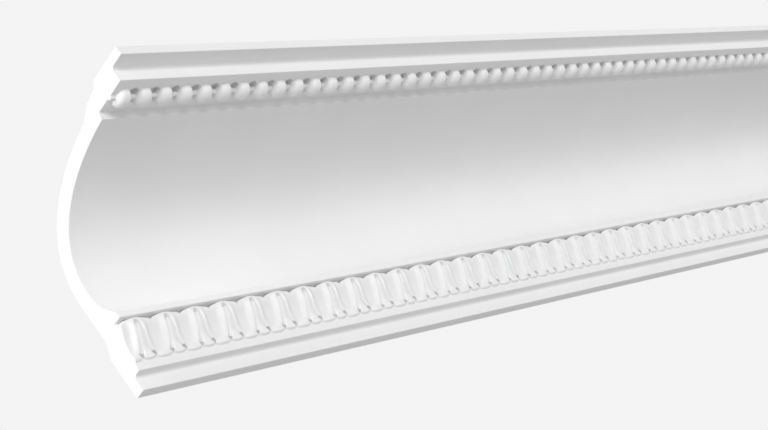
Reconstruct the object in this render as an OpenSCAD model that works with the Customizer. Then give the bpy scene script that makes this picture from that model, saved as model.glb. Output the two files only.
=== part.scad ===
// Cornice moulding: one cast length of cove crown moulding, with a row of
// beads under its ceiling fillets and a row of leaves along its wall side.
// It stands as it is mounted: +X along the run, +Y into the wall, +Z up.
// The origin is the middle of the face that is glued to the wall.

/* [Overall] */
// Length of the section, cut square at both ends
length = 1060; // [300:10:1500]
// How far it reaches out along the ceiling
projection = 161; // [130:1:200]
// How far it reaches down the wall
drop = 172; // [145:1:215]

/* [Ceiling side] */
// Width of the face glued to the ceiling
ceiling_face = 31; // [22:0.5:40]
// Height of the front fillet
top_fillet = 7.2; // [5:0.1:9]
// Step back from the front fillet to the beaded fascia
fascia_step = 13.5; // [9:0.1:17]
// Level of the beaded soffit below the ceiling
soffit_down = 18.4; // [15:0.1:22]
// Width of the soffit
soffit_w = 30; // [26:0.1:36]
// Height of the small fillet between the soffit and the cove
cove_fillet = 5.2; // [3:0.1:7]
// How far that fillet leans back
cove_fillet_lean = 1.8; // [0:0.1:3]
// Bevel behind the ceiling face
ceiling_bevel = 4.4; // [2:0.1:6]
// Width of the shelf behind that bevel
back_shelf_w = 13; // [8:0.5:18]
// How far the shelf falls towards the cove
back_shelf_fall = 2.2; // [0:0.1:4]

/* [Cove] */
// Thickness of the cove wall
wall = 12; // [9:0.1:14.5]
// How far the deepest line of the cove stands out from the wall
throat_out = 17.8; // [16:0.1:22]
// Slope at which the cove leaves the ceiling side, in degrees
cove_slope = 4.5; // [0:0.5:12]
// Reach of the flat upper part of the cove, as a share of its width
cove_reach = 0.53; // [0.4:0.01:0.65]
// Reach of the steep lower part, as a share of its height
cove_fall = 0.66; // [0.5:0.01:0.75]
// Radius of the flare from the deepest line out to the lip
flare_r = 32; // [24:0.5:40]

/* [Wall side] */
// Height of the face glued to the wall
wall_face = 33; // [22:0.5:40]
// Height of the slope from the wall face up to the back of the cove
back_slope = 12; // [8:0.5:18]
// How far the lip over the leaves stands out from the wall
lip_out = 28.6; // [27:0.1:31]
// Height of the lip
lip_h = 5; // [3:0.1:7]
// Height of the underside of the lip above the bottom edge
lip_rise = 47.8; // [44:0.1:52]
// Height of the lower edge of the leaves above the bottom edge
leaf_rise = 18.6; // [16:0.1:21]
// How far the plain band under the leaves stands out from the wall
band_out = 17; // [14.5:0.1:18.5]
// How far that band leans back at its foot
band_lean = 1.2; // [0:0.1:2]
// Height of the band's foot above the bottom edge
band_rise = 11.6; // [9:0.1:14]
// How far the bottom fillet stands out from the wall
foot_out = 9; // [7:0.1:11]

/* [Small hollows] */
// Radius of the hollow in the corner under each fillet
hollow_r = 3; // [1.5:0.1:3.5]

/* [Beads] */
// Diameter of a bead
bead_d = 16.4; // [12:0.1:17]
// Nominal distance between beads; a whole number of them fills the length
bead_step = 20; // [18:0.1:24]
// Distance from the beaded fascia's edge to the line of the beads
bead_inset = 16; // [12:0.1:18]
// Diameter of the string between the beads
string_d = 5; // [3:0.1:7]

/* [Leaves] */
// Nominal distance between leaves; a whole number of them fills the length
leaf_step = 29.4; // [26:0.1:34]
// How far the leaf band stands out from the wall just under the lip
leaf_top_out = 25.6; // [24:0.1:26.5]
// Half the width of a leaf between its grooves, at the top
leaf_half = 10.2; // [8.5:0.1:11]
// Half the width of a leaf at its foot
leaf_foot_half = 7.2; // [6:0.1:8.5]
// Height of the rolled rim of a leaf
rim_h = 1.6; // [0.8:0.1:2.2]
// Depth of the hollow of a leaf
leaf_hollow = 0.9; // [0.2:0.1:1.5]
// Depth of the groove round a leaf
groove = 1.3; // [0.5:0.1:1.8]
// Depth of the pits at the foot of the grooves
pit = 2.6; // [1:0.1:3.2]
// Height of the loop that rises between two leaves
loop_h = 1.9; // [1:0.1:2.4]
// How far the gaps between the loops reach down below the lip
gap_drop = 4.2; // [2:0.1:5.5]

/* [Hidden] */

// Vertical levels, measured down from the ceiling
mount_down = drop - wall_face / 2;
lip_down = drop - lip_rise;
leaf_down = drop - leaf_rise;
fascia_out = projection - fascia_step;
fascia_foot_h = drop - band_rise;

// The flare swings out from the deepest line until it meets the lip
flare_turn = acos(1 - (lip_out - throat_out) / flare_r);
throat_down = lip_down - lip_h - flare_r * sin(flare_turn);

// The cove is one curve between two ends; two handles set its fullness
cove_top = [fascia_out - soffit_w - cove_fillet_lean, soffit_down + cove_fillet];
cove_foot = [throat_out, throat_down];
cove_w = cove_top.x - cove_foot.x;
cove_h = cove_foot.y - cove_top.y;
cove_handles = [
    cove_top,
    cove_top + cove_reach * cove_w * [-cos(cove_slope), sin(cove_slope)],
    cove_foot - [0, cove_fall * cove_h],
    cove_foot
];
cove_parts = 28;
arc_parts = 8;

// Rows of ornament: whole numbers of equal steps, so lengths join up
beads = round(length / bead_step);
bead_pitch = length / beads;
leaves = round(length / leaf_step);
leaf_pitch = length / leaves;

// The run is made this much too long at each end, and cut square
overrun = 2;

// A point of the section: `out` from the wall and `down` from the ceiling
function at(p) = [-p.x, mount_down - p.y];

function bezier(c, t) =
    pow(1 - t, 3) * c[0] + 3 * pow(1 - t, 2) * t * c[1]
    + 3 * (1 - t) * t * t * c[2] + pow(t, 3) * c[3];
function bezier_way(c, t) =
    pow(1 - t, 2) * (c[1] - c[0]) + 2 * (1 - t) * t * (c[2] - c[1])
    + t * t * (c[3] - c[2]);
// The same curve, moved sideways by a wall's thickness
function bezier_beside(c, t, d) =
    let (w = bezier_way(c, t)) bezier(c, t) + d * [-w.y, w.x] / norm(w);

// Quarter round hollow in the corner between an underside and a face
function corner_hollow(face_out, under_down) = [
    for (i = [0 : arc_parts])
        let (a = 90 * i / arc_parts)
            [face_out + hollow_r * (1 - sin(a)), under_down + hollow_r * (1 - cos(a))]
];

function flare() = [
    for (i = [1 : arc_parts])
        let (a = flare_turn * i / arc_parts)
            [throat_out + flare_r * (1 - cos(a)), throat_down + flare_r * sin(a)]
];

// The section, from the ceiling face round the front to the wall and back
function section() = concat(
    [[projection - ceiling_face, 0], [projection, 0], [projection, top_fillet]],
    corner_hollow(fascia_out, top_fillet),
    [[fascia_out, soffit_down], [fascia_out - soffit_w, soffit_down]],
    [for (i = [0 : cove_parts]) bezier(cove_handles, i / cove_parts)],
    flare(),
    [[lip_out, lip_down], [leaf_bed_top, lip_down], [leaf_bed_foot, leaf_down]],
    [[band_out, leaf_down], [band_out - band_lean, fascia_foot_h]],
    corner_hollow(foot_out, fascia_foot_h),
    [[foot_out, drop], [0, drop], [0, drop - wall_face]],
    [[throat_out - wall, drop - wall_face - back_slope]],
    [for (i = [cove_parts : -1 : 2]) bezier_beside(cove_handles, i / cove_parts, wall)],
    [[projection - ceiling_face - ceiling_bevel - back_shelf_w,
        ceiling_bevel + back_shelf_fall]],
    [[projection - ceiling_face - ceiling_bevel, ceiling_bevel]]
);

// The bed behind the leaves lies deeper than their deepest pit
bed_depth = pit + 2.2;
leaf_bed_top = leaf_top_out - bed_depth;
leaf_bed_foot = band_out - bed_depth;

// The feet of the leaves lap over the top of the plain band
foot_lap = 0.8;

// The leaf band falls from under the lip to the plain band in an ogee
leaf_h = leaf_down - lip_down;
function ogee(down) =
    let (s = min(1, max(0, (down - lip_down - leaf_h / 8) / (leaf_h * 7 / 8))))
        band_out + (leaf_top_out - band_out) * (1 + cos(180 * s)) / 2;

// Half the width of a leaf: it narrows to a round foot
function leaf_side(s) = leaf_foot_half + (leaf_half - leaf_foot_half) * cos(90 * pow(s, 2));

// Grid lines across one unit: its middle, flank, rim, groove, loop and back
COLUMNS = [0, 0.55, 0.84, 1, 2, 3, 3.16, 3.45];
// Grid lines down the band, as shares of the ornament's height
ROWS = [0, 0.1, 0.38, 0.68, 0.9, 1];
// Relief over the ogee of each column line, on each row
RELIEF = [
    [0, rim_h * 0.5, -leaf_hollow, -leaf_hollow * 0.8, rim_h * 0.6, 0.2],
    [0, rim_h * 0.8, 0, 0, rim_h * 0.8, 0.4],
    [0, rim_h, rim_h, rim_h, rim_h, 0.4],
    [0, 0, -groove, -groove, -pit, -groove],
    [0, loop_h, loop_h * 0.7, loop_h * 0.6, loop_h * 0.8, 0.6]
];

// Which relief column a grid column takes, and how far it lies from the middle
function relief_of(k) = k <= 4 ? k : 8 - k;
function column_at(k, s) =
    let (c = COLUMNS[k], side = leaf_side(s), half = leaf_pitch / 2)
        c <= 1 ? c * side
        : c == 2 ? half
        : leaf_pitch - (4 - c) * side;

// The loops rise to the lip and sag between: the upper edge of the relief
function edge_down(u) =
    lip_down + 0.9 + gap_drop * (1 - sqrt(abs(sin(180 * u / leaf_pitch))));

function leaf_point(k, j) =
    let (
        unit = floor(k / 8),
        c = k - 8 * unit,
        s = ROWS[j],
        u = column_at(c, s),
        top = edge_down(u),
        down = top + (leaf_down + foot_lap - top) * s
    )
    [
        unit * leaf_pitch + u - length / 2,
        -(ogee(down) + RELIEF[relief_of(c)][j]),
        mount_down - down
    ];

// Rows tucked under the lip and behind the plain band close the grid
function column_points(k) =
    let (
        first = leaf_point(k, 0),
        last = leaf_point(k, len(ROWS) - 1),
        gap_out = leaf_bed_top + 1.2
    )
    concat(
        [[first.x, -leaf_bed_top + 4, mount_down - lip_down + 2]],
        [[first.x, -gap_out, mount_down - lip_down + 2]],
        [[first.x, -gap_out, first.z]],
        [for (j = [0 : len(ROWS) - 1]) leaf_point(k, j)],
        [[last.x, -leaf_bed_foot - 0.6, last.z - 2]],
        [[last.x, -leaf_bed_foot + 4, last.z - 2]]
    );

// The row runs one grid column past each end, where the ends are cut square
module leaf_row() {
    lines = leaves * 8 + 3;
    n = len(ROWS) + 5;
    points = [for (k = [-1 : lines - 2]) each column_points(k)];
    sides = [
        for (k = [0 : lines - 2], j = [0 : n - 1])
            let (a = k * n + j, b = k * n + (j + 1) % n)
                each [[a, b + n, b], [a, a + n, b + n]]
    ];
    near_end = [for (j = [0 : n - 1]) j];
    far_end = [for (j = [n - 1 : -1 : 0]) (lines - 1) * n + j];
    polyhedron(points, concat(sides, [near_end, far_end]), convexity = 8);
}

module bead_row() {
    line = at([fascia_out - bead_inset, soffit_down]);
    for (i = [0 : beads - 1])
        translate([(i + 0.5) * bead_pitch - length / 2, line.x, line.y])
            sphere(d = bead_d, $fn = 32);
    translate([0, line.x, line.y])
        rotate([0, 90, 0])
            cylinder(d = string_d, h = length + 2 * overrun, center = true, $fn = 24);
}

module cornice_moulding() {
    color("#f4f3f2") intersection() {
        union() {
            rotate([90, 0, 90])
                linear_extrude(height = length + 2 * overrun, center = true, convexity = 8)
                    polygon([for (p = section()) at(p)]);
            bead_row();
            leaf_row();
        }
        cube([length, 4 * projection, 4 * drop], center = true);
    }
}

cornice_moulding();
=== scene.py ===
# Looks of a cast cornice moulding: one closed mesh with carved leaves, beads and soft edges.
import math

import bmesh
import bpy
import numpy as np
from mathutils import Matrix, Vector


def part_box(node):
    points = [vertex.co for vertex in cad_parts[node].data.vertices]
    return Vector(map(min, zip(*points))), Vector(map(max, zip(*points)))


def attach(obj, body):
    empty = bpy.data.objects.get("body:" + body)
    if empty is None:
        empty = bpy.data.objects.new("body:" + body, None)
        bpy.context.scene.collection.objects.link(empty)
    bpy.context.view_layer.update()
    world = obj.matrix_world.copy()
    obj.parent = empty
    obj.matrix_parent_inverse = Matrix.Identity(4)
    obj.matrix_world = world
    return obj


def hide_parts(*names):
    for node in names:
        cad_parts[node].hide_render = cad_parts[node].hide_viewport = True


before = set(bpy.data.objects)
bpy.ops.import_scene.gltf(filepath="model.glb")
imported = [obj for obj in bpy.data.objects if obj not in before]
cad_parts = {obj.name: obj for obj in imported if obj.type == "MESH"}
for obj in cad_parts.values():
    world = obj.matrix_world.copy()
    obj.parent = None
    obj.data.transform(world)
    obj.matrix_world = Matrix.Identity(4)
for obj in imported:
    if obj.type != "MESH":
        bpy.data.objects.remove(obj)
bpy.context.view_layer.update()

NODE = "cornice_moulding"
low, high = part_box(NODE)
MM = 0.001

# ---------------------------------------------------------------- sizes, in millimetres
# A point of the section is (out, down): out from the wall, and down from the ceiling.
LENGTH = (high.x - low.x) / MM
PROJECTION = (high.y - low.y) / MM
DROP = (high.z - low.z) / MM

# Ceiling side
CEILING_FACE = 31.0
TOP_FILLET = 7.2
FASCIA_OUT = PROJECTION - 13.5
SOFFIT_DOWN = 18.4
SOFFIT_W = 30.0
COVE_FILLET = 5.2
COVE_FILLET_LEAN = 1.8
CEILING_BEVEL = 4.4
BACK_SHELF_W = 13.0
BACK_SHELF_FALL = 2.2

# Cove
WALL = 12.0
THROAT_OUT = 17.8
COVE_SLOPE = math.radians(4.5)
COVE_REACH = 0.53
COVE_FALL = 0.66
FLARE_R = 32.0

# Wall side
WALL_FACE = 33.0
BACK_SLOPE = 12.0
LIP_OUT = 28.6
LIP_H = 5.0
LIP_DOWN = DROP - 47.8
LEAF_DOWN = DROP - 18.6
BAND_OUT = 17.0
BAND_LEAN = 1.2
BAND_FOOT = DROP - 11.6
FOOT_OUT = 9.0

# Rounding: hollows under the fillets, and the slight softness of every cast edge
HOLLOW_R = 3.0
EDGE_R = 0.7
EDGE_STEPS = 4
SHARP_TURN = math.radians(20)
COVE_STRIPS = 72
ARC_STRIPS = 10

# Beads on their string, and the pockets between them: half sizes along, out and down. Both
# sit a little under the soffit, so that none of their points lies exactly in its plane.
BEAD_R = 7.6
BEAD_HALF = 6.1
BEAD_SQUARE = 2.8
BEAD_LOWER = 0.11
POCKET = (5.8, 8.2, 6.5)
POCKET_LOWER = 0.23
BALL_SEGMENTS = 26
BALL_RINGS = 14
STRING_SEGMENTS = 24
BEADS = round(LENGTH / 20)
BEAD_LINE_OUT = FASCIA_OUT - 16.0
STRING_R = 1.9

# Leaves: `fall` is measured down from the underside of the lip
LEAVES = round(LENGTH / 29.4)
PITCH = LENGTH / LEAVES
HALF = PITCH / 2
LEAF_TOP_OUT = 25.6
LEAF_H = LEAF_DOWN - LIP_DOWN
BAND_TOP = LEAF_DOWN - 1.4
BED_DEPTH = 8.0
RIM_H = 1.0
RIM_W = 1.9
HOLLOW_W = 6.0
LEAF_HOLLOW = 2.2
GROOVE = 2.3
DART_H = 0.5
FOOT_H = 1.6
DART_HALF = 2.8
DART_FLARE = 3.4
EYE_FALL = 3.4
EYE_DEPTH = 1.9
PIT_FALL = 26.2
PIT_R = 2.0
PIT_DEPTH = 6.0
PIT_SEGMENTS = 16
PIT_ASIDE = HALF - DART_HALF - DART_FLARE
FOOT_CUSP = 1.3
FOOT_LAP = 1.2
FLUTE = 0.13
FLUTES = 3
ROWS = 35
GAP_DROP = 3.6
GAP_OUT = 21.4

# The run is made this much too long at each end, then cut square
OVERRUN = 2.0
SHARP_EDGE = math.radians(38)


def place(x, out, down):
    """A point of the section, at x along the run, in the frame's metres."""
    return (x * MM, high.y - out * MM, high.z - down * MM)


# ---------------------------------------------------------------- section
def turned(angle, radius, centre):
    return (centre[0] + radius * math.cos(angle), centre[1] + radius * math.sin(angle))


def corner_hollow(face_out, under_down):
    """Quarter round hollow in the corner between an underside and a face."""
    middle = (face_out + HOLLOW_R, under_down + HOLLOW_R)
    steps = range(ARC_STRIPS + 1)
    return [turned(math.radians(-90 - 90 * i / ARC_STRIPS), HOLLOW_R, middle) for i in steps]


def flare():
    """Arc that swings out from the deepest line of the cove to the lip."""
    turn = math.acos(1 - (LIP_OUT - THROAT_OUT) / FLARE_R)
    start_down = LIP_DOWN - LIP_H - FLARE_R * math.sin(turn)
    middle = (THROAT_OUT + FLARE_R, start_down)
    steps = range(1, ARC_STRIPS + 1)
    return start_down, [turned(math.pi - turn * i / ARC_STRIPS, FLARE_R, middle) for i in steps]


def cove(throat_down, strips, aside=0.0):
    """Points of the cove from the ceiling side down, moved aside by a wall's thickness."""
    top = np.array([FASCIA_OUT - SOFFIT_W - COVE_FILLET_LEAN, SOFFIT_DOWN + COVE_FILLET])
    foot = np.array([THROAT_OUT, throat_down])
    width, height = top[0] - foot[0], foot[1] - top[1]
    way = np.array([-math.cos(COVE_SLOPE), math.sin(COVE_SLOPE)])
    c = [top, top + COVE_REACH * width * way, foot - [0, COVE_FALL * height], foot]
    t = np.linspace(0, 1, strips + 1)[:, None]
    along = (1 - t) ** 3 * c[0] + 3 * (1 - t) ** 2 * t * c[1]
    along += 3 * (1 - t) * t**2 * c[2] + t**3 * c[3]
    ways = (1 - t) ** 2 * (c[1] - c[0]) + 2 * (1 - t) * t * (c[2] - c[1])
    ways += t**2 * (c[3] - c[2])
    sideways = np.stack([-ways[:, 1], ways[:, 0]], axis=1)
    sideways /= np.linalg.norm(ways, axis=1)[:, None]
    return [tuple(p) for p in along + aside * sideways]


def softened(outline):
    """The outline with every sharp corner turned into a small arc."""
    points = [Vector(p) for p in outline]
    result = []
    for i, corner in enumerate(points):
        before = points[i - 1] - corner
        after = points[(i + 1) % len(points)] - corner
        turn = math.pi - before.angle(after)
        if turn < SHARP_TURN:
            result.append(tuple(corner))
            continue
        reach = min(EDGE_R * math.tan(turn / 2), 0.45 * before.length, 0.45 * after.length)
        start = corner + before.normalized() * reach
        end = corner + after.normalized() * reach
        for k in range(EDGE_STEPS + 1):
            t = k / EDGE_STEPS
            bend = start * (1 - t) ** 2 + corner * 2 * t * (1 - t) + end * t**2
            result.append(tuple(bend))
    return result


def section():
    """Outline from the ceiling face round the front to the wall and back."""
    throat_down, flare_points = flare()
    shelf_out = PROJECTION - CEILING_FACE - CEILING_BEVEL
    back = cove(throat_down, COVE_STRIPS, WALL)
    outline = [(PROJECTION - CEILING_FACE, 0), (PROJECTION, 0), (PROJECTION, TOP_FILLET)]
    outline += corner_hollow(FASCIA_OUT, TOP_FILLET)
    outline += [(FASCIA_OUT, SOFFIT_DOWN), (FASCIA_OUT - SOFFIT_W, SOFFIT_DOWN)]
    outline += cove(throat_down, COVE_STRIPS)
    outline += flare_points
    outline += [(LIP_OUT, LIP_DOWN), (LEAF_TOP_OUT - BED_DEPTH, LIP_DOWN)]
    outline += [(BAND_OUT - BED_DEPTH, BAND_TOP), (BAND_OUT, BAND_TOP)]
    outline += [(BAND_OUT - BAND_LEAN, BAND_FOOT)]
    outline += corner_hollow(FOOT_OUT, BAND_FOOT)
    outline += [(FOOT_OUT, DROP), (0, DROP), (0, DROP - WALL_FACE)]
    outline += [(THROAT_OUT - WALL, DROP - WALL_FACE - BACK_SLOPE)]
    outline += back[:5:-1]
    outline += [(shelf_out - BACK_SHELF_W, CEILING_BEVEL + BACK_SHELF_FALL)]
    outline += [(shelf_out, CEILING_BEVEL)]
    return softened(outline)


# ---------------------------------------------------------------- leaves
def dart_half(fall):
    """Half the width of the dart between two leaves: round at the eye, flared at the foot."""
    rise = 1 - np.exp(-np.maximum(fall - EYE_FALL, 0) / 3)
    flare_share = np.clip((fall - 12) / (PIT_FALL - 12), 0, 1)
    return DART_HALF * np.sqrt(rise) + DART_FLARE * flare_share**3


def smooth(share):
    share = np.clip(share, 0, 1)
    return share * share * (3 - 2 * share)


def ogee(fall):
    """How far the leaf band stands out before its relief."""
    share = np.clip((fall - LEAF_H / 8) / (LEAF_H * 7 / 8), 0, 1)
    return BAND_OUT + (LEAF_TOP_OUT - BAND_OUT) * (1 + np.cos(math.pi * share)) / 2


def head_fall(aside):
    """Upper edge of the relief: arches that reach the lip, with a pointed gap over each leaf."""
    return GAP_DROP * (1 - np.sqrt(np.sin(math.pi * aside / PITCH))) - 0.2


def foot_fall(aside):
    """Lower edge of the relief: a wide scallop under each leaf and a narrow one under each dart."""
    in_leaf = np.sqrt(np.clip(1 - (aside / PIT_ASIDE) ** 2, 0, 1))
    in_dart = np.sqrt(np.clip(1 - ((HALF - aside) / (HALF - PIT_ASIDE)) ** 2, 0, 1))
    scallop = np.where(aside < PIT_ASIDE, in_leaf, 0.9 * in_dart)
    return LEAF_H - FOOT_CUSP + (FOOT_CUSP + FOOT_LAP) * scallop


def groove_distance(aside, fall):
    """Distance from the groove round a dart, negative inside the dart."""
    line_fall = EYE_FALL + (PIT_FALL - EYE_FALL) * np.linspace(0, 1, 240) ** 2
    line_aside = HALF - dart_half(line_fall)
    gap = np.hypot(aside[..., None] - line_aside, fall[..., None] - line_fall).min(axis=-1)
    inside = (aside > HALF - dart_half(fall)) & (fall > EYE_FALL)
    return np.where(inside, -gap, gap)


def relief(aside, fall):
    """Height of the carving over the ogee, `aside` from the middle of a leaf."""
    share = fall / LEAF_H
    off = groove_distance(aside, fall)
    flank = RIM_H - (RIM_H + GROOVE) * (1 - np.clip(off / RIM_W, 0, 1)) ** 2
    basin = smooth((off - RIM_W) / HOLLOW_W)
    floor = -LEAF_HOLLOW * np.sin(math.pi * np.clip((share - 0.02) / 0.82, 0, 1)) ** 2
    floor += FOOT_H * np.exp(-((share - 0.97) / 0.13) ** 2)
    flutes = FLUTE * np.cos(2 * math.pi * FLUTES * aside / (HALF - DART_HALF - RIM_W))
    floor += flutes * basin * smooth(share / 0.2) * smooth((0.86 - share) / 0.3)
    leaf = flank + (floor - RIM_H) * basin
    crest = 1 - (1 - np.clip(-off / 2.2, 0, 1)) ** 2
    dart_top = DART_H + (FOOT_H - DART_H) * smooth((share - 0.7) / 0.2)
    dart = -GROOVE + (GROOVE + dart_top) * crest
    height = np.where(off < 0, dart, leaf)
    in_eye = np.exp(-((fall - EYE_FALL) / 1.3) ** 2)
    height -= EYE_DEPTH * in_eye * smooth(1.3 - np.abs(off))
    head = np.clip(1 - (fall - head_fall(aside)) / 1.4, 0, 1)
    foot = np.clip(1 - (foot_fall(aside) - fall) / 1.0, 0, 1)
    return height - 1.1 * head**2 - np.maximum(height, 0) * foot**2


def spread(count, pull):
    """Shares from 0 to 1, drawn towards both ends."""
    t = np.linspace(0, 1, count + 1)
    return t - pull * np.sin(2 * math.pi * t) / (2 * math.pi)


def leaf_columns():
    """The columns of one unit: each follows the leaf, its rim, the groove or the dart."""
    rows = spread(ROWS, 0.45)
    half_columns = []
    for k in range(23):
        fall = rows * LEAF_H
        groove_aside = HALF - np.maximum(dart_half(fall), 0.9)
        crest_aside = groove_aside - RIM_W
        if k <= 9:
            aside = crest_aside * k / 9
        elif k <= 14:
            aside = crest_aside + RIM_W * (k - 9) / 5
        else:
            aside = groove_aside + (HALF - groove_aside) * ((k - 14) / 8) ** 1.4
        aside = np.minimum(aside, HALF)
        top, bottom = head_fall(aside), foot_fall(aside)
        fall = top + (bottom - top) * rows
        half_columns.append((aside, fall, ogee(fall) + relief(aside, fall)))
    mirrored = [(PITCH - a, f, o) for a, f, o in half_columns[-2:0:-1]]
    return half_columns + mirrored


def leaf_row():
    """Closed rings of the whole row, from one cut end to the other."""
    columns = leaf_columns()
    count = len(columns)
    back = LEAF_TOP_OUT - BED_DEPTH
    rings = []
    for k in range(-3, LEAVES * count + 4):
        aside, fall, out = columns[k % count]
        x = (k // count) * PITCH - LENGTH / 2 + aside
        down = LIP_DOWN + fall
        ring = [place(x[0], back - 4, LIP_DOWN - 2), place(x[0], GAP_OUT, LIP_DOWN - 2)]
        ring += [place(x[0], GAP_OUT, down[0] - 0.3), place(x[0], GAP_OUT + 0.3, down[0])]
        ring += [place(*p) for p in zip(x, out, down)]
        ring += [place(x[-1], BAND_OUT - 0.7, down[-1] + 0.2)]
        ring += [place(x[-1], BAND_OUT - BED_DEPTH - 4, LEAF_DOWN + 2)]
        rings.append(ring)
    return rings


# ---------------------------------------------------------------- meshes
def link(name, mesh):
    piece = bpy.data.objects.new(name, mesh)
    bpy.context.scene.collection.objects.link(piece)
    return piece


def swept(name, rings):
    """Closed solid through rings of equal length, capped at both ends."""
    rings = np.array(rings, dtype=float)
    count, size, _ = rings.shape
    faces = [tuple(range(size - 1, -1, -1))]
    for i in range(count - 1):
        a, b = i * size, (i + 1) * size
        faces += [(a + j, a + (j + 1) % size, b + (j + 1) % size, b + j) for j in range(size)]
    faces.append(tuple(range((count - 1) * size, count * size)))
    mesh = bpy.data.meshes.new(name)
    mesh.from_pydata(rings.reshape(-1, 3).tolist(), [], faces)
    return link(name, mesh)


def prism(name, outline):
    ends = (-LENGTH / 2 - OVERRUN, LENGTH / 2 + OVERRUN)
    return swept(name, [[place(x, *p) for p in outline] for x in ends])


def string_outline():
    steps = [math.radians(360 * (i + 0.5) / STRING_SEGMENTS) for i in range(STRING_SEGMENTS)]
    return [turned(a, STRING_R, (BEAD_LINE_OUT, SOFFIT_DOWN)) for a in steps]


def balls(name, spots, half_sizes, square):
    """A row of balls in one mesh; as square rises above 2 they fill out to drums along the run."""
    shape = bmesh.new()
    for spot in spots:
        made = bmesh.ops.create_uvsphere(shape, u_segments=BALL_SEGMENTS, v_segments=BALL_RINGS, radius=1)
        for vert in made["verts"]:
            along = vert.co.z
            ring = (1 - min(abs(along), 1) ** square) ** (1 / square)
            around = Vector(vert.co[:2]) * ring / max(Vector(vert.co[:2]).length, 1e-9)
            shift = zip((along, around.x, around.y), half_sizes)
            vert.co = Vector(spot) + Vector([part * half * MM for part, half in shift])
    mesh = bpy.data.meshes.new(name)
    shape.to_mesh(mesh)
    shape.free()
    return link(name, mesh)


def bead_spots(first, last, lower):
    """Middles of the beads (at halves) or of the gaps between them (at whole numbers)."""
    pitch = LENGTH / BEADS
    count = int(last - first) + 1
    return [
        place((first + i) * pitch - LENGTH / 2, BEAD_LINE_OUT, SOFFIT_DOWN + lower)
        for i in range(count)
    ]


def pits():
    """Round holes drilled between the feet of the leaves and the darts."""
    shape = bmesh.new()
    surface_out = float(ogee(PIT_FALL))
    for i in range(LEAVES):
        for aside in (PIT_ASIDE, PITCH - PIT_ASIDE):
            x = i * PITCH - LENGTH / 2 + aside
            spot = Vector(place(x, surface_out, LIP_DOWN + PIT_FALL))
            bmesh.ops.create_cone(
                shape, cap_ends=True, segments=PIT_SEGMENTS, radius1=PIT_R * MM, radius2=PIT_R * MM,
                depth=2 * PIT_DEPTH * MM,
                matrix=Matrix.Translation(spot) @ Matrix.Rotation(math.pi / 2, 4, "X"),
            )
    mesh = bpy.data.meshes.new("pits")
    shape.to_mesh(mesh)
    shape.free()
    return link("pits", mesh)


def end_cutter():
    box = [(-PROJECTION, -DROP), (2 * PROJECTION, -DROP), (2 * PROJECTION, 2 * DROP)]
    box += [(-PROJECTION, 2 * DROP)]
    return swept("cutter", [[place(x, *p) for p in box] for x in (-LENGTH / 2, LENGTH / 2)])


def moulding():
    """The whole casting as one closed mesh."""
    base = prism("run", section())
    pockets = balls("pockets", bead_spots(1, BEADS - 1, POCKET_LOWER), POCKET, 2)
    bead_size = (BEAD_HALF, BEAD_R, BEAD_R)
    spots = bead_spots(0.5, BEADS - 0.5, BEAD_LOWER)
    beads = balls("beads", spots, bead_size, BEAD_SQUARE)
    steps = [
        ("DIFFERENCE", pockets), ("UNION", prism("string", string_outline())), ("UNION", beads),
        ("UNION", swept("leaves", leaf_row())), ("DIFFERENCE", pits()), ("INTERSECT", end_cutter()),
    ]
    for operation, helper in steps:
        step = base.modifiers.new(helper.name, "BOOLEAN")
        step.operation = operation
        step.solver = "MANIFOLD"
        step.object = helper
    depsgraph = bpy.context.evaluated_depsgraph_get()
    mesh = bpy.data.meshes.new_from_object(base.evaluated_get(depsgraph))
    for used in [base] + [helper for _, helper in steps]:
        bpy.data.objects.remove(used)
    mesh.name = "moulding"
    mesh.shade_smooth()
    mesh.set_sharp_from_angle(angle=SHARP_EDGE)
    return link("moulding", mesh)


# ---------------------------------------------------------------- materials
def shader(name, base, roughness):
    made = bpy.data.materials.new(name)
    made.use_nodes = True
    tree = made.node_tree
    surface = tree.nodes["Principled BSDF"]
    surface.inputs["Base Color"].default_value = (*base, 1)
    surface.inputs["Roughness"].default_value = roughness
    return made, tree, surface


def noise(tree, scale, detail):
    """Noise laid over the piece in its own metres."""
    spot = tree.nodes.new("ShaderNodeTexCoord")
    pattern = tree.nodes.new("ShaderNodeTexNoise")
    pattern.inputs["Scale"].default_value = scale
    pattern.inputs["Detail"].default_value = detail
    tree.links.new(spot.outputs["Object"], pattern.inputs["Vector"])
    return pattern.outputs["Fac"]


def shades(tree, pattern, dark, light, span):
    """Colours from dark to light over the middle of a pattern."""
    ramp = tree.nodes.new("ShaderNodeValToRGB")
    ramp.color_ramp.elements[0].position = 0.5 - span
    ramp.color_ramp.elements[0].color = (*dark, 1)
    ramp.color_ramp.elements[1].position = 0.5 + span
    ramp.color_ramp.elements[1].color = (*light, 1)
    tree.links.new(pattern, ramp.inputs["Fac"])
    return ramp.outputs["Color"]


def bump(tree, height, strength, distance, normal=None):
    node = tree.nodes.new("ShaderNodeBump")
    node.inputs["Strength"].default_value = strength
    node.inputs["Distance"].default_value = distance
    tree.links.new(height, node.inputs["Height"])
    if normal is not None:
        tree.links.new(normal, node.inputs["Normal"])
    return node.outputs["Normal"]


def primer():
    """Matt white primer on the cast skin: faint clouding, fine grain, shallow ripples."""
    made, tree, surface = shader("primer", (0.87, 0.87, 0.875), 0.6)
    clouds = shades(tree, noise(tree, 14, 3), (0.862, 0.862, 0.868), (0.882, 0.881, 0.884), 0.2)
    tree.links.new(clouds, surface.inputs["Base Color"])
    ripples = bump(tree, noise(tree, 30, 1), 0.25, 0.0006)
    grain = bump(tree, noise(tree, 1300, 2), 0.16, 0.0002, ripples)
    tree.links.new(grain, surface.inputs["Normal"])
    return made


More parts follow.
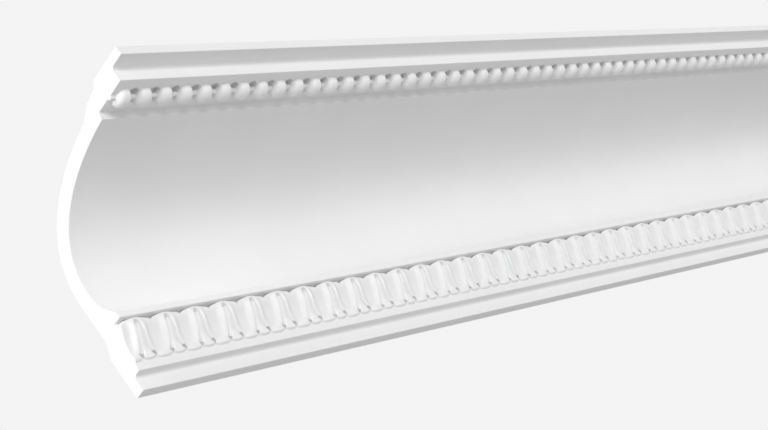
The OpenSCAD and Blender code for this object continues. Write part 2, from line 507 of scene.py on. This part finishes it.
def cut_foam():
    """Sawn end of the casting: the same white, dry and finely pored."""
    made, tree, surface = shader("cut_foam", (0.88, 0.88, 0.88), 0.85)
    pores = noise(tree, 900, 4)
    tint = shades(tree, pores, (0.85, 0.85, 0.845), (0.9, 0.9, 0.9), 0.25)
    tree.links.new(tint, surface.inputs["Base Color"])
    tree.links.new(bump(tree, pores, 0.3, 0.0003), surface.inputs["Normal"])
    return made


def plain(name, colour, roughness):
    return shader(name, colour, roughness)[0]


# ---------------------------------------------------------------- the piece
piece = moulding()
piece.data.materials.clear()
piece.data.materials.append(primer())
piece.data.materials.append(cut_foam())
for face in piece.data.polygons:
    at_end = abs(face.center.x) > (LENGTH / 2 - 0.01) * MM
    face.material_index = 1 if at_end and abs(face.normal.x) > 0.999 else 0
even = piece.modifiers.new("even_shading", "WEIGHTED_NORMAL")
even.keep_sharp = True
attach(piece, "root")
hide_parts(NODE)

# ---------------------------------------------------------------- camera
LENS = 92.0
HEADING = math.radians(57.66)
PITCH_UP = math.radians(21.32)
ROLL = math.radians(38.34)
BEFORE_END = 0.9228
FROM_WALL = 0.8281
UNDER_CEILING = 0.6557


def make_camera():
    """It looks up along the run from in front of the near end, rolled to lay the run level."""
    forward = Vector((
        math.sin(HEADING) * math.cos(PITCH_UP),
        math.cos(HEADING) * math.cos(PITCH_UP),
        math.sin(PITCH_UP),
    ))
    level = Vector((math.cos(HEADING), -math.sin(HEADING), 0))
    upright = level.cross(forward)
    right = level * math.cos(ROLL) - upright * math.sin(ROLL)
    up = upright * math.cos(ROLL) + level * math.sin(ROLL)
    turn = Matrix((right, up, -forward)).transposed().to_4x4()
    data = bpy.data.cameras.new("camera")
    data.lens = LENS
    camera = link("camera", data)
    spot = Vector((low.x - BEFORE_END, high.y - FROM_WALL, high.z - UNDER_CEILING))
    camera.matrix_world = Matrix.Translation(spot) @ turn
    bpy.context.scene.camera = camera


# ---------------------------------------------------------------- stage and light
FLOOR_Z = -0.72
FLOOR_HALF = 14.0
FLOOR_SHADE = 0.6
ROOM_LIGHT = 0.29
BACKDROP = 0.9
SOFTNESS = 25


def make_floor():
    corners = [(-1, -1), (1, -1), (1, 1), (-1, 1)]
    mesh = bpy.data.meshes.new("floor")
    points = [(x * FLOOR_HALF, y * FLOOR_HALF, FLOOR_Z) for x, y in corners]
    mesh.from_pydata(points, [], [(0, 1, 2, 3)])
    floor = link("floor", mesh)
    mesh.materials.append(plain("floor", [FLOOR_SHADE] * 3, 0.9))


def make_world():
    """Even grey light all round, and a pale background where the camera looks past the piece."""
    world = bpy.data.worlds.new("studio")
    world.use_nodes = True
    tree = world.node_tree
    light = tree.nodes["Background"]
    light.inputs["Color"].default_value = (1, 1, 1, 1)
    light.inputs["Strength"].default_value = ROOM_LIGHT
    backdrop = tree.nodes.new("ShaderNodeBackground")
    backdrop.inputs["Color"].default_value = (1, 1, 1, 1)
    backdrop.inputs["Strength"].default_value = BACKDROP
    seen = tree.nodes.new("ShaderNodeLightPath")
    pick = tree.nodes.new("ShaderNodeMixShader")
    tree.links.new(seen.outputs["Is Camera Ray"], pick.inputs["Fac"])
    tree.links.new(light.outputs[0], pick.inputs[1])
    tree.links.new(backdrop.outputs[0], pick.inputs[2])
    tree.links.new(pick.outputs[0], tree.nodes["World Output"].inputs["Surface"])
    bpy.context.scene.world = world


def make_lamp(name, side, height, energy):
    """Soft far light; side is its turn from the near end's direction towards the room."""
    lamp = bpy.data.lights.new(name, "SUN")
    lamp.energy = energy
    lamp.angle = math.radians(SOFTNESS)
    turn, rise = math.radians(side), math.radians(height)
    way = Vector((-math.cos(turn) * math.cos(rise), -math.sin(turn) * math.cos(rise), math.sin(rise)))
    link(name, lamp).rotation_euler = way.to_track_quat("Z", "Y").to_euler()


make_camera()
make_floor()
make_world()
make_lamp("key", 60, 5, 1.65)
make_lamp("end_light", 5, 20, 1.7)
make_lamp("fill", 110, 5, 0.45)
make_lamp("back_light", 250, 12, 1.2)
make_lamp("top_light", 250, 75, 0.8)
bpy.context.scene.view_settings.view_transform = "Standard"
